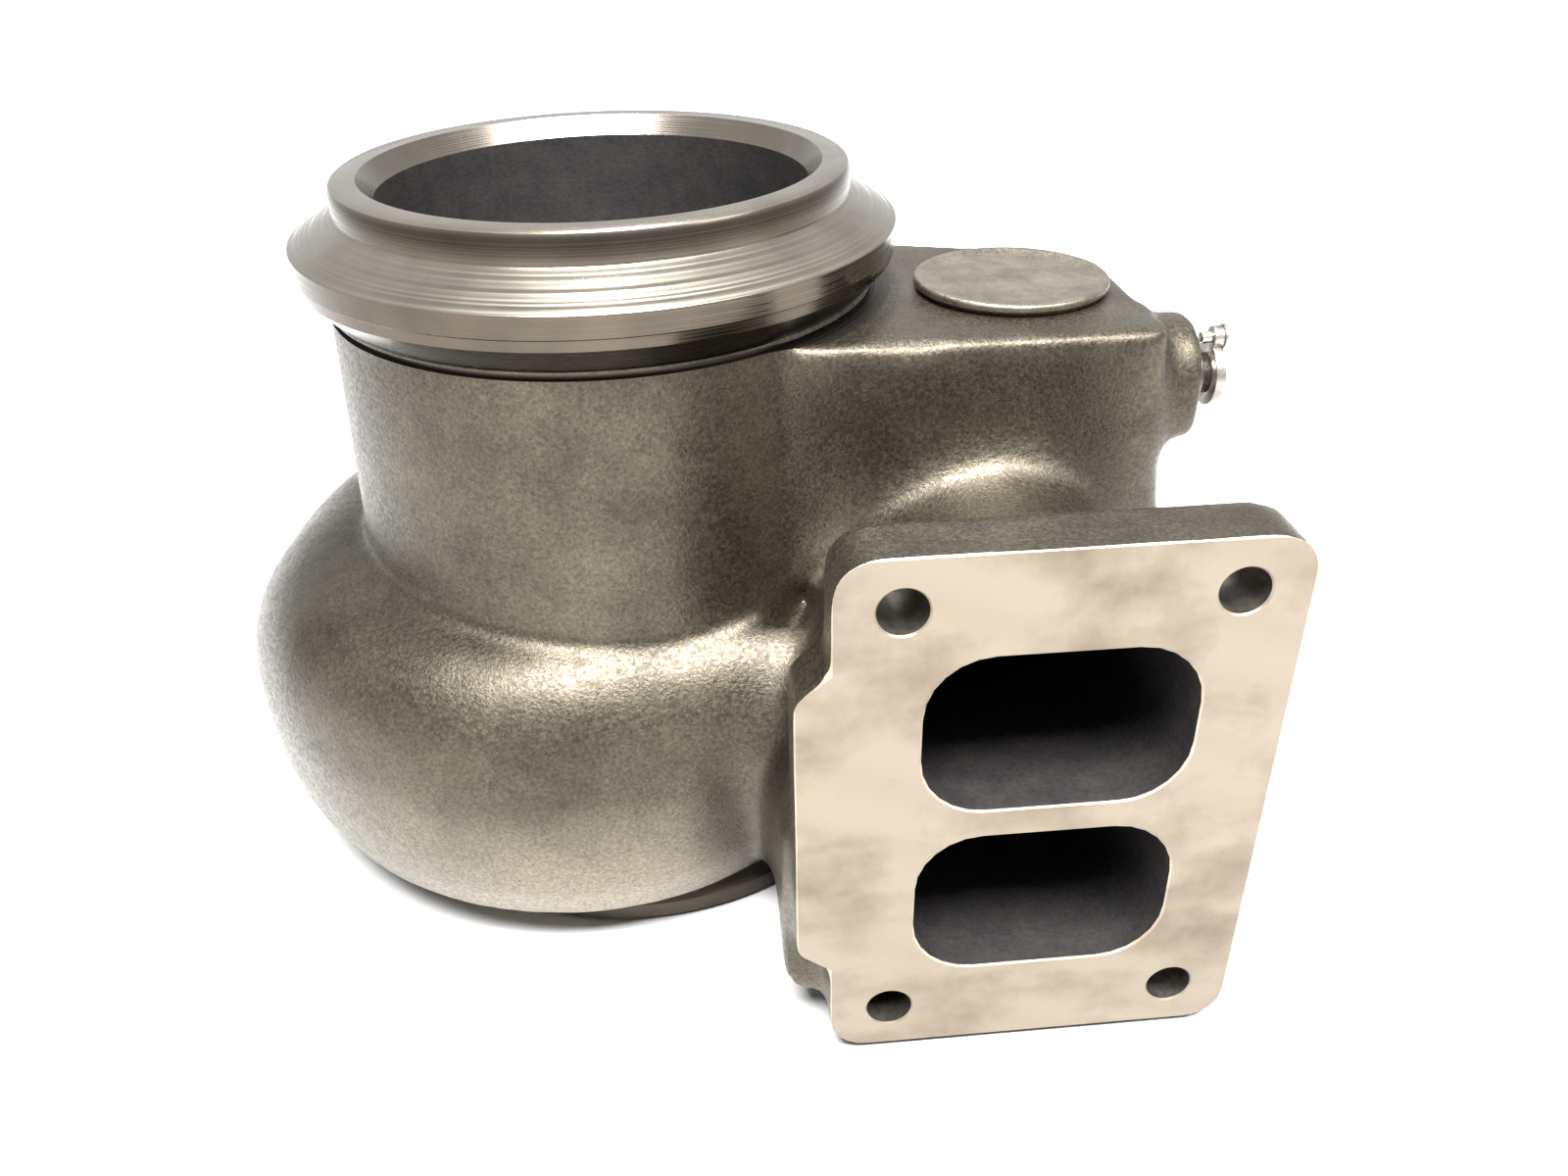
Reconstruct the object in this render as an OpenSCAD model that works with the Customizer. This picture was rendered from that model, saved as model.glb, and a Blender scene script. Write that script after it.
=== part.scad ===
// Turbine housing of a turbocharger with twin inlet passages and a built-in bypass valve.
// The turbine axis is Z with the gas outlet up. The housing stands on its bearing side at z = 0,
// and the inlet flange faces -Y. All lengths are in millimetres, all angles in degrees.

/* [Outlet] */
// Height of the whole housing, from the bearing face to the outlet face
total_h = 190; // [180:1:205]
// Diameter of the outlet bore
outlet_bore_d = 109; // [100:1:113]
// Diameter of the spigot that the exhaust pipe goes over
spigot_d = 130; // [126:0.5:134]
// Height of the spigot above the clamp flange
spigot_h = 8; // [5:0.5:11]
// Outer diameter of the clamp flange
clamp_d = 153.5; // [148:0.5:160]
// Height of the clamp flange's straight rim
clamp_rim_h = 8; // [6:0.5:11]
// Drop of the upper clamping cone
clamp_cone_h = 6; // [4:0.5:8]
// Height of the lower clamping cone
clamp_under_h = 8; // [6:0.5:10]
// Chamfer of the outlet bore's mouth
mouth_chamfer = 3.5; // [1:0.5:4]

/* [Body] */
// Diameter of the cast outlet cylinder at its top
body_top_d = 139.5; // [136:0.5:144]
// Diameter of the cast outlet cylinder where it meets the scroll
body_low_d = 144; // [140:0.5:148]
// Height where the cast cylinder meets the scroll
body_low_z = 92; // [88:1:96]

/* [Scroll] */
// Largest radius of the scroll, at the inlet side
scroll_r = 133; // [131:0.5:136]
// Radius that the scroll loses per degree
scroll_fall = 0.059; // [0.054:0.001:0.064]
// Further loss per degree squared
scroll_fall_2 = 0.000343; // [0.00032:0.000001:0.00036]
// How far the scroll's lower edge lies inside its widest line
scroll_tuck = 7.5; // [5:0.5:9]
// Height of the scroll's flat underside
scroll_low_z = 16; // [14:0.5:20]
// Height up to which the scroll's outer wall stands straight
scroll_wall_z = 54; // [50:1:58]
// Thickness of the scroll's wall
scroll_wall = 6; // [5:0.5:7]
// Height where the scroll's start runs into the outlet cylinder
shoulder_z = 114; // [110:1:116]
// The same height once the scroll has come round to the back
shoulder_low_z = 97; // [94:0.5:99]
// Height that the shoulder loses per degree from there
shoulder_fall = 0.045; // [0.035:0.005:0.06]
// Angle where the scroll ends, behind the inlet neck
scroll_end = 306; // [302:1:312]

/* [Inlet] */
// Distance from the turbine axis to the middle of the inlet flange
inlet_x = 95; // [93:0.5:97]
// Height of the middle of the inlet flange
inlet_z = 71; // [70:0.5:73]
// Distance from the turbine axis to the flange face
inlet_y = 124; // [118:1:130]
// Width of the flange
inlet_w = 99; // [96:0.5:104]
// Height of the flange
inlet_h = 139; // [134:0.5:140]
// Thickness of the flange
inlet_t = 17; // [14:0.5:20]
// Corner radius of the flange
inlet_corner_r = 9; // [6:0.5:12]
// Width of the pad that stands out on the flange's left side
inlet_pad_w = 7.8; // [4:0.2:10]
// Height of that pad
inlet_pad_h = 73; // [66:1:80]
// Width of each inlet port
port_w = 60; // [56:0.5:62]
// Height of each inlet port
port_h = 41; // [38:0.5:42]
// Corner radius of each inlet port
port_corner_r = 18; // [12:0.5:19]
// Thickness of the wall between the ports
divider_t = 7.6; // [6:0.2:10]
// Distance between the bolt holes across the flange
bolt_dx = 70; // [68:0.5:72]
// Distance between the bolt holes up the flange
bolt_dz = 114; // [112:0.5:116]
// Diameter of the bolt holes
bolt_hole_d = 11; // [9:0.5:12.5]

/* [Bearing side] */
// Diameter of the clamp flange on the bearing side
bearing_clamp_d = 150; // [146:0.5:156]
// Diameter of the bore that centres the bearing housing
pilot_d = 124; // [118:0.5:128]
// Depth of that bore
pilot_depth = 8; // [5:0.5:10]
// Diameter of the turbine wheel's outlet
exducer_d = 84; // [78:0.5:88]
// Diameter of the turbine wheel's inlet
inducer_d = 94; // [90:0.5:96]

/* [Bypass chamber] */
// Distance from the turbine axis to the chamber's right side, at its top
chamber_x = 135.5; // [133.5:0.5:137]
// Distance from the turbine axis to the chamber's front
chamber_y = 57.5; // [54:0.5:60]
// Distance from the turbine axis to the chamber's back right corner
chamber_back = 9; // [7:0.5:11]
// Angle by which the chamber's back slants
chamber_slant = 17; // [14:0.5:19]
// Angle by which the chamber's right side flares downwards
chamber_flare = 5.5; // [4:0.5:6]
// Height of the chamber's top
chamber_z = 158.5; // [156:0.5:160]
// Thickness of the chamber's walls
chamber_wall = 6; // [5:0.2:6.4]
// Radius of the chamber's back corner
chamber_back_r = 13; // [10:1:15]
// Diameter of the access plug's head
plug_head_d = 50; // [46:0.5:51]
// Diameter of the access hole
access_d = 40; // [36:0.5:42]
// Distance from the turbine axis to the plug's middle, across
plug_x = 105; // [103:0.5:105.5]
// Distance from the turbine axis to the plug's middle, towards the inlet
plug_y = 18.5; // [18:0.5:22]
// Height of the plug's head
plug_head_h = 2.6; // [1.5:0.1:4]

/* [Bypass valve] */
// Distance from the turbine axis to the valve's middle, across
valve_x = 100; // [98:0.5:102]
// Distance from the crank's axis to the valve's middle
crank_reach = 26; // [25:0.5:27]
// Distance from the turbine axis to the crank's axis, towards the inlet
crank_y = 38; // [37.5:0.5:39]
// Height of the crank's axis
crank_z = 140; // [139.5:0.1:141]
// Diameter of the valve disc
valve_d = 32; // [29:0.5:33]
// Thickness of the valve disc
valve_t = 5; // [4:0.2:5.4]
// Diameter of the bypass port
bypass_d = 25; // [20:0.5:26]
// Diameter of the crank shaft
shaft_d = 10; // [8:0.2:11]
// Diameter of the outer lever's hub
lever_hub_d = 16.4; // [15:0.2:18]
// Thickness of the outer lever
lever_t = 2.6; // [2:0.1:3.4]
// Distance from the crank's axis to the lever pin
lever_reach = 9.8; // [9.6:0.1:12]
// Diameter of the lever pin
lever_pin_d = 3.2; // [2.6:0.1:4]
// Length of the lever pin that stands out
lever_pin_l = 3; // [2:0.1:4]

/* [Shaft boss] */
// Diameter of the shaft boss on the chamber's side
boss_d = 31.6; // [30:0.2:34]
// How far the boss stands out
boss_l = 10.7; // [9:0.1:12]
// Outer diameter of the shaft bush
bush_d = 14; // [13:0.2:16]

/* [Hidden] */
$fn = 96;

cast_grey = "#7d776b";
machined_grey = "#b9b4aa";
steel_grey = "#8e8b86";
dark_steel = "#5e5a55";

// Clearances: pieces fixed to each other, pieces that turn in each other, and faces at rest
fit_gap = 0.05;
run_gap = 0.06;
seat_gap = 0.1;

// Outlet
spigot_z = total_h - spigot_h;
cone_z = spigot_z - clamp_cone_h;
rim_z = cone_z - clamp_rim_h;
groove_z = rim_z - clamp_under_h;
edge_chamfer = 2;
mouth_depth = 5;

// Bearing side and turbine wheel
bearing_clamp_h = 6;
bearing_neck_r = bearing_clamp_d / 2 - 6.5;
nozzle_low_z = 24;
nozzle_high_z = 38.5;
nozzle_floor_z = 31.5;
nozzle_roof_z = 35.5;
wheel_gap = 0.6;
wheel_top_z = 62;
diffuser_z = 118;

// Scroll
scroll_steps = 30;
neck_steps = 6;
passage_steps = 24;
round_back = 150;
core_r = 58;
crease_r = 66;
neck_left = 35;
neck_end = inlet_y - inlet_t / 2;
tip_r = 45;
tip_start_r = 53;
tip_angle = 25;
throat_r = 58;
divider_low_z = 47;

// Bypass chamber and valve
seat_z = 126;
seat_depth = 30;
window_w = 36;
window_h = 22;
chamber_in_x = 76;
chamber_low_z = 95;
ceiling_z = chamber_z - chamber_wall;
valve_y = crank_y - crank_reach;
eye_gap = 0.4;
eye_t = 5;
eye_z = seat_z + seat_gap + valve_t + eye_gap;
stem_d = 8;
hub_w = 16;
hub_d = 17;
washer_t = 1.5;
rivet_t = 1.2;
boss_x = chamber_x + boss_l;
bush_out = 3.2;
bush_x = boss_x + bush_out;
bush_in_x = chamber_x - chamber_wall - 1.5;
lever_x = boss_x + 5.8;
clip_t = 0.8;
pin_rise = 95;

function mix(a, b, t) = a + (b - a) * t;
function clamp01(t) = min(1, max(0, t));
function smooth(t) = let (u = clamp01(t)) u * u * (3 - 2 * u);
function bezier(a, b, c, d, t) =
    a * pow(1 - t, 3) + b * 3 * t * pow(1 - t, 2) + c * 3 * pow(t, 2) * (1 - t) + d * pow(t, 3);

// A rounded corner at p between its neighbours a and b, as a curve of n steps.
function corner(a, p, b, r, n) =
    let (from = p + (a - p) * min(0.47, r / norm(a - p)), to = p + (b - p) * min(0.47, r / norm(b - p)))
    [for (i = [0 : n]) let (t = i / n) from * pow(1 - t, 2) + p * 2 * t * (1 - t) + to * pow(t, 2)];
function round_off(ps, r, n) = let (m = len(ps))
    [for (i = [0 : m - 1]) each corner(ps[(i + m - 1) % m], ps[i], ps[(i + 1) % m],
        is_list(r) ? r[i] : r, n)];

function middle(ring) = [for (i = [0 : 2]) sum([for (p = ring) p[i]]) / len(ring)];
function sum(v) = len(v) == 0 ? 0 : v * [for (x = v) 1];

// Rings with the same number of points become one closed skin, with a fan at each end.
module skin(rings) {
    n = len(rings[0]);
    m = len(rings);
    points = concat([for (ring = rings) each ring], [middle(rings[0]), middle(rings[m - 1])]);
    side = [for (j = [0 : m - 2], i = [0 : n - 1])
        let (k = (i + 1) % n) each [[j * n + i, (j + 1) * n + k, (j + 1) * n + i],
            [j * n + i, j * n + k, (j + 1) * n + k]]];
    start = [for (i = [0 : n - 1]) [m * n, (i + 1) % n, i]];
    end = [for (i = [0 : n - 1]) [m * n + 1, (m - 1) * n + i, (m - 1) * n + (i + 1) % n]];
    polyhedron(points, concat(side, start, end), convexity = 12);
}

// Places a section in the straight neck where s is below 0, or else at the angle s round the axis.
function place(section, s) = s < 0
    ? [for (p = section) [p[0], s, p[1]]]
    : [for (p = section) [p[0] * cos(s), p[0] * sin(s), p[1]]];

// The scroll's outer form at an angle round the axis, 0 at +X and growing towards +Y.
function outer_r(a) = scroll_r - scroll_fall * a - scroll_fall_2 * a * a;
function shoulder(a) = mix(shoulder_z, shoulder_low_z - shoulder_fall * (a - round_back),
    smooth(a / round_back));
function wall_top(a) = mix(scroll_wall_z + 16, scroll_wall_z, clamp01(a / round_back));
function rise(a) = lookup(a, [[0, 58], [170, 18], [209, 27], [270, 20]]);
function reach(a) = lookup(a, [[0, 0.43], [170, 0.55], [209, 0.8], [270, 0.55]]);
function crown(a) = 21 * (1 - smooth(a / round_back));

// One outer section as [radius, height] points; t goes from 0 at the flange to 1 on the axis.
function outer_section(a, t) =
    let (r = outer_r(a), low_r = r - scroll_tuck, top = shoulder(a), wall_z = wall_top(a),
        left = mix(neck_left, core_r, t), left_mid = mix(52, core_r, t))
    concat(
        [[left + 3, scroll_low_z], [low_r - 4.5, scroll_low_z], [low_r - 1.2, scroll_low_z + 1.1],
         [low_r, scroll_low_z + 4], [low_r + 4.2, scroll_low_z + 14], [r - 1, scroll_low_z + 26]],
        [for (i = [0 : 10]) bezier([r, wall_z], [r, wall_z + rise(a)],
            [mix(crease_r, r, reach(a)), top + crown(a)], [crease_r, top], i / 10)],
        [[left_mid, top - 17], [mix(neck_left, core_r, t * 0.99), 62], [left, scroll_low_z + 6]]);

module scroll_outside() {
    skin([for (i = [0 : neck_steps]) let (y = -neck_end * (1 - i / neck_steps))
        place(outer_section(0, smooth(1 + y / 62)), min(y, -1e-9))]);
    skin([for (i = [0 : scroll_steps]) let (a = scroll_end * i / scroll_steps)
        place(outer_section(a, 1), a)]);
}

// The two gas passages: port shape at the flange, and a drop that closes to the wheel in the scroll.
function divider(a) = mix(inlet_z, divider_low_z, a / 270);
function tip(a) = mix(tip_start_r, tip_r, clamp01(a / tip_angle));
function roof(a) = shoulder(a) - scroll_wall - 2;
function port_corners(z) = let (x0 = inlet_x - port_w / 2, x1 = inlet_x + port_w / 2,
        z0 = z - port_h / 2, z1 = z + port_h / 2)
    [[x0, z0], [x1, z0], [x1, z], [x1, z1], [x0, z1], [x0, z + 1], [x0, z - 1]];
function upper_corners(a) = let (r = outer_r(a) - scroll_wall, low = divider(a) + divider_t / 2)
    [[tip(a), nozzle_floor_z], [r, low], [r - 1.5, mix(wall_top(a), roof(a), 0.5)],
     [mix(crease_r - 4, outer_r(a), 0.62), roof(a)], [crease_r - 2, roof(a)],
     [throat_r, nozzle_roof_z + 10.5], [tip(a), nozzle_roof_z]];
function lower_corners(a) = let (r = outer_r(a) - scroll_wall, top = divider(a) - divider_t / 2,
        floor_z = scroll_low_z + scroll_wall)
    [[tip(a), nozzle_low_z], [r - scroll_tuck, floor_z], [r, mix(floor_z, top, 0.5)], [r, top],
     [tip(a), nozzle_low_z + 4.5], [tip(a), nozzle_low_z + 3], [tip(a), nozzle_low_z + 1.5]];
function belly(t) = 90 * t * pow(1 - t, 3);
function neck_corners(port, drop, t) =
    [for (i = [0 : 6]) mix(port[i], drop[i], smooth(t)) - (i == 0 || i > 3 ? [belly(t), 0] : [0, 0])];

module passage(port, side) {
    neck_l = inlet_y - inlet_t;
    r0 = [port_corner_r, port_corner_r, 1, port_corner_r, port_corner_r, 1, 1];
    skin(concat(
        [place(round_off(port, r0, 4), -inlet_y - 1)],
        [for (i = [0 : neck_steps - 1]) let (t = i / neck_steps)
            place(round_off(neck_corners(port, side(0), t), mix(r0, [7, 7, 7, 7, 7, 7, 7], t), 4),
                -neck_l * (1 - t))],
        [for (i = [0 : passage_steps]) let (a = (scroll_end - 3) * i / passage_steps)
            place(round_off(side(a), 7, 4), a)]));
}
module gas_passages() {
    port_dz = (port_h + divider_t) / 2;
    passage(port_corners(inlet_z + port_dz), function (a) upper_corners(a));
    passage(port_corners(inlet_z - port_dz), function (a) lower_corners(a));
}

// Turned outside: bearing clamp flange, scroll core, outlet cylinder, outlet clamp flange and spigot
module turned_outside() {
    rotate_extrude($fn = 120) polygon([
        [0, 0], [bearing_clamp_d / 2 - 1.5, 0], [bearing_clamp_d / 2, 1.5],
        [bearing_clamp_d / 2, bearing_clamp_h], [bearing_neck_r, bearing_clamp_h + 6],
        [bearing_neck_r, scroll_low_z + 5], [body_low_d / 2, scroll_low_z + 5],
        [body_low_d / 2, body_low_z], [body_top_d / 2, groove_z], [clamp_d / 2, rim_z],
        [clamp_d / 2, cone_z], [spigot_d / 2, spigot_z], [spigot_d / 2, total_h - edge_chamfer],
        [spigot_d / 2 - edge_chamfer, total_h], [0, total_h]]);
}

// Turned inside: pilot bore, wheel space, wheel contour, diffuser and outlet bore
module turned_inside() {
    wheel_in = inducer_d / 2 + wheel_gap;
    wheel_out = exducer_d / 2 + wheel_gap;
    rotate_extrude($fn = 120) polygon(concat(
        [[0, -1], [pilot_d / 2, -1], [pilot_d / 2, pilot_depth], [wheel_in, pilot_depth]],
        [for (i = [0 : 6]) let (t = 90 * i / 6) [wheel_out + (wheel_in - wheel_out) * (1 - sin(t)),
            wheel_top_z - (wheel_top_z - nozzle_high_z) * cos(t)]],
        [[outlet_bore_d / 2, diffuser_z], [outlet_bore_d / 2, total_h - mouth_depth],
         [outlet_bore_d / 2 + mouth_chamfer, total_h], [outlet_bore_d / 2 + mouth_chamfer, total_h + 1],
         [0, total_h + 1]]));
}

// Inlet flange, seen from the front; inset takes its edge in, for the chamfer
pad_slope = 6;
function flange_outline(inset) = let (x0 = inlet_x - inlet_w / 2 + inset, x1 = x0 + inlet_w - 2 * inset,
        z0 = inlet_z - inlet_h / 2 + inset, z1 = z0 + inlet_h - 2 * inset,
        px = inlet_x - inlet_w / 2 - inlet_pad_w + inset, ph = inlet_pad_h / 2, r = inlet_corner_r - inset)
    concat(corner([x0, z1], [x0, z0], [x1, z0], r, 5), corner([x0, z0], [x1, z0], [x1, z1], r, 5),
        corner([x1, z0], [x1, z1], [x0, z1], r, 5), corner([x1, z1], [x0, z1], [x0, z0], r, 5),
        [[x0, inlet_z + ph + pad_slope], [px, inlet_z + ph], [px, inlet_z - ph],
         [x0, inlet_z - ph - pad_slope]]);
module inlet_flange() {
    chamfer = 1.5;
    skin([for (s = [[0, chamfer], [chamfer, 0], [inlet_t - chamfer, 0], [inlet_t, chamfer]])
        [for (p = flange_outline(s[1])) [p[0], -inlet_y + s[0], p[1]]]]);
}
module bolt_holes() {
    for (dx = [-1, 1], dz = [-1, 1])
        translate([inlet_x + dx * bolt_dx / 2, -inlet_y - 1, inlet_z + dz * bolt_dz / 2])
            rotate([-90, 0, 0]) cylinder(d = bolt_hole_d, h = inlet_t + 2);
}

// Bypass chamber: outer box with rounded top edges, and the cavity under its ceiling
function chamber_outline(x0, inset, r_front, r_back) = let (x1 = chamber_x - inset, x2 = x1 - 1.5,
        y0 = -chamber_y + inset, y1 = chamber_back - inset,
        left = [x0, y1 + (x2 - x0) * tan(chamber_slant)])
    concat([left, [x0, y0]], corner([x0, y0], [x1, y0], [x2, y1], r_front, 5),
        corner([x1, y0], [x2, y1], left, r_back, 8));
module chamber_outside() {
    r = 4;
    flare = (chamber_z - r - chamber_low_z) * tan(chamber_flare);
    skin(concat(
        [for (i = [4 : -1 : 0]) let (t = 90 * i / 4)
            [for (p = chamber_outline(20 + i * 0.1, r * (1 - cos(t)), 6, chamber_back_r))
                [p[0], p[1], chamber_z - r * (1 - sin(t))]]],
        [[for (p = chamber_outline(20, 0, 6, chamber_back_r))
            [p[0] + flare * clamp01((p[0] - chamber_in_x) / 40), p[1], chamber_low_z]]]));
}
module chamber_inside() {
    translate([0, 0, seat_z]) linear_extrude(ceiling_z - seat_z)
        polygon(chamber_outline(chamber_in_x, chamber_wall, 8, chamber_back_r - chamber_wall));
    translate([40, -valve_y - window_w / 2 - 3, seat_z + 1]) cube([chamber_in_x - 38, window_w, window_h]);
    translate([valve_x, -valve_y, seat_z - seat_depth]) cylinder(d = bypass_d, h = seat_depth + 1);
    translate([plug_x, -plug_y, ceiling_z - 1]) cylinder(d = access_d, h = chamber_wall + 2);
}

// Boss for the crank shaft, with a flat-bottomed leg cast below it
leg_z = seat_z + 2;
module shaft_boss() {
    translate([chamber_x - 3, -crank_y, crank_z]) rotate([0, 90, 0]) rotate_extrude()
        polygon([[0, 0], [boss_d / 2, 0], [boss_d / 2, boss_l + 1.5], [boss_d / 2 - 1.5, boss_l + 3],
            [0, boss_l + 3]]);
    translate([chamber_x - 3, -crank_y - boss_d / 2 + 0.5, leg_z])
        cube([boss_l + 2, boss_d - 1, crank_z - leg_z]);
}
module shaft_bore() {
    translate([chamber_x - chamber_wall - 1, -crank_y, crank_z]) rotate([0, 90, 0])
        cylinder(d = bush_d + 2 * fit_gap, h = chamber_wall + boss_l + 2);
}

module turbine_housing() color(cast_grey) difference() {
    difference() {
        union() {
            scroll_outside();
            turned_outside();
            inlet_flange();
            chamber_outside();
            shaft_boss();
        }
        gas_passages();
    }
    turned_inside();
    bolt_holes();
    chamber_inside();
    shaft_bore();
}

// Round cap on the access hole above the valve; its spigot fills the hole through the roof
module access_plug() color(cast_grey) translate([plug_x, -plug_y, 0]) rotate_extrude()
    polygon([[0, ceiling_z], [access_d / 2 - fit_gap, ceiling_z], [access_d / 2 - fit_gap, chamber_z],
        [plug_head_d / 2, chamber_z], [plug_head_d / 2, chamber_z + plug_head_h - 1],
        [plug_head_d / 2 - 1, chamber_z + plug_head_h], [0, chamber_z + plug_head_h]]);

module tube_x(x0, x1, r_out, r_in) translate([x0, -crank_y, crank_z]) rotate([0, 90, 0]) difference() {
    cylinder(r = r_out, h = x1 - x0);
    translate([0, 0, -1]) cylinder(r = r_in, h = x1 - x0 + 2);
}
module shaft_bush() color(dark_steel) tube_x(bush_in_x, bush_x, bush_d / 2, shaft_d / 2 + run_gap);

crank_in_x = valve_x - hub_w / 2 - 1;
module crank_shaft() color(steel_grey) translate([crank_in_x, -crank_y, crank_z]) rotate([0, 90, 0])
    rotate_extrude() polygon([[0, 0], [shaft_d / 2 - 1, 0], [shaft_d / 2, 1],
        [shaft_d / 2, lever_x + lever_t - crank_in_x - 0.5],
        [shaft_d / 2 - 0.8, lever_x + lever_t - crank_in_x + 0.6], [0, lever_x + lever_t - crank_in_x + 0.6]]);

// Arm inside the chamber: a hub on the shaft and an eye over the valve's stem
module crank_arm() color(steel_grey) difference() {
    union() {
        translate([valve_x - hub_w / 2, -crank_y, crank_z]) rotate([0, 90, 0])
            cylinder(d = hub_d, h = hub_w);
        translate([valve_x - hub_w / 2 + 1, -crank_y, eye_z]) cube([hub_w - 2, crank_reach, eye_t]);
        translate([valve_x, -valve_y, eye_z]) cylinder(d = hub_w - 1, h = eye_t);
    }
    translate([valve_x - hub_w, -crank_y, crank_z]) rotate([0, 90, 0])
        cylinder(r = shaft_d / 2 + fit_gap, h = 2 * hub_w);
    translate([valve_x, -valve_y, eye_z - 1]) cylinder(r = stem_d / 2 + fit_gap, h = eye_t + 2);
}
module poppet_valve() color(dark_steel) translate([valve_x, -valve_y, seat_z + seat_gap]) rotate_extrude()
    polygon([[0, 0], [valve_d / 2 - 0.8, 0], [valve_d / 2, 0.8], [valve_d / 2, valve_t - 0.8],
        [valve_d / 2 - 0.8, valve_t], [stem_d / 2, valve_t],
        [stem_d / 2, valve_t + eye_gap + eye_t + washer_t + rivet_t], [0,
        valve_t + eye_gap + eye_t + washer_t + rivet_t]]);
module valve_washer() color(steel_grey) translate([valve_x, -valve_y, eye_z + eye_t]) difference() {
    cylinder(r = stem_d / 2 + 2.6, h = washer_t);
    translate([0, 0, -1]) cylinder(r = stem_d / 2 + fit_gap, h = washer_t + 2);
}

// Outer lever: a round hub on the shaft's end with a narrow strap up to the pin
pin_y = -crank_y + lever_reach * cos(pin_rise);
pin_z = crank_z + lever_reach * sin(pin_rise);
strap_r = lever_pin_d / 2 + 1.2;
module outer_lever() color(steel_grey) difference() {
    union() {
        translate([lever_x, -crank_y, crank_z]) rotate([0, 90, 0]) cylinder(d = lever_hub_d, h = lever_t);
        translate([lever_x, -crank_y, crank_z]) rotate([pin_rise, 0, 0])
            translate([0, 0, -strap_r + 0.1]) cube([lever_t, lever_reach, 2 * strap_r - 0.2]);
        translate([lever_x, pin_y, pin_z]) rotate([0, 90, 0]) cylinder(r = strap_r, h = lever_t);
    }
    translate([lever_x - 1, -crank_y, crank_z]) rotate([0, 90, 0])
        cylinder(r = shaft_d / 2 + fit_gap, h = lever_t + 2);
    translate([lever_x - 1, pin_y, pin_z]) rotate([0, 90, 0])
        cylinder(r = lever_pin_d / 2 + fit_gap, h = lever_t + 2);
}
module lever_pin() color(machined_grey) translate([lever_x - lever_pin_l, pin_y, pin_z]) rotate([0, 90, 0])
    rotate_extrude() polygon([[0, 0], [lever_pin_d / 2 - 0.4, 0], [lever_pin_d / 2, 0.4],
        [lever_pin_d / 2, lever_pin_l + lever_t + clip_t + 0.8], [0, lever_pin_l + lever_t + clip_t + 0.8]]);
module pin_clip() color(dark_steel) translate([lever_x + lever_t, pin_y, pin_z]) rotate([0, 90, 0]) difference() {
    cylinder(r = lever_pin_d / 2 + 1.6, h = clip_t);
    translate([0, 0, -1]) cylinder(r = lever_pin_d / 2 + fit_gap, h = clip_t + 2);
}

turbine_housing();
access_plug();
shaft_bush();
crank_shaft();
crank_arm();
poppet_valve();
valve_washer();
outer_lever();
lever_pin();
pin_clip();
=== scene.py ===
# Turbine housing with a built-in bypass valve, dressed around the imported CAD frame.
# The turbine axis is Z with the gas outlet up, and the inlet flange faces -Y. Lengths are in millimetres
# until mm turns them to metres; angles are in degrees.
import math

import bmesh
import bpy
from mathutils import Matrix, Vector


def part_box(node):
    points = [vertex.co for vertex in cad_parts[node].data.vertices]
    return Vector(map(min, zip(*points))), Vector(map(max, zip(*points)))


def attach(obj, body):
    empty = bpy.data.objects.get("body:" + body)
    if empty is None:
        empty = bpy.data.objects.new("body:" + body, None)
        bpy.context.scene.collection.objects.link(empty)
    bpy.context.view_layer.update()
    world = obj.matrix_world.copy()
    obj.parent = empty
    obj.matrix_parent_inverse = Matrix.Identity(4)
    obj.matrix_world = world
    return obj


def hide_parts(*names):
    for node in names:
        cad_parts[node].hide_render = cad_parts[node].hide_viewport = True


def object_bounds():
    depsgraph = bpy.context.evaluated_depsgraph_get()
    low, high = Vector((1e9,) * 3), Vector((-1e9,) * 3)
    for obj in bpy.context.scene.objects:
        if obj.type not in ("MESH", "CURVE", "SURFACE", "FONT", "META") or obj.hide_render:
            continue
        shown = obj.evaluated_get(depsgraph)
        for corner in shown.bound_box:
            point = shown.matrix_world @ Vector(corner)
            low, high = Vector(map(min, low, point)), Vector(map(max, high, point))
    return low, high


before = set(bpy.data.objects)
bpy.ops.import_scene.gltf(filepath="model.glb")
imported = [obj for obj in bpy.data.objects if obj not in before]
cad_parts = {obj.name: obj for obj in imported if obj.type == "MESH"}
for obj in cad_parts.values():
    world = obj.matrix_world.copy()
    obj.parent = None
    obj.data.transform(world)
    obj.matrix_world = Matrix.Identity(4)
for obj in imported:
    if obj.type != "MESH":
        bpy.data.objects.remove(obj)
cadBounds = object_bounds()
mm = 0.001
housingLow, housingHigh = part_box("turbine_housing")
print("stage: frame loaded")


# Small tools

def mix(a, b, t):
    return a + (b - a) * t


def smooth(t):
    u = min(1.0, max(0.0, t))
    return u * u * (3 - 2 * u)


def lookUp(value, table):
    for (x0, y0), (x1, y1) in zip(table, table[1:]):
        if value <= x1:
            return mix(y0, y1, max(0.0, (value - x0) / (x1 - x0)))
    return table[-1][1]


def bezier(a, b, c, d, t):
    return a * (1 - t) ** 3 + b * 3 * t * (1 - t) ** 2 + c * 3 * t * t * (1 - t) + d * t ** 3


def roundCorner(a, p, b, radius, steps, before=0.47, after=0.47):
    start = p + (a - p) * min(before, radius / (a - p).length)
    end = p + (b - p) * min(after, radius / (b - p).length)
    pull = 0.55 if radius > 2 else 0.66  # towards a round arc, or a plain point
    return [bezier(start, start.lerp(p, pull), end.lerp(p, pull), end, i / steps) for i in range(steps + 1)]


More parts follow.
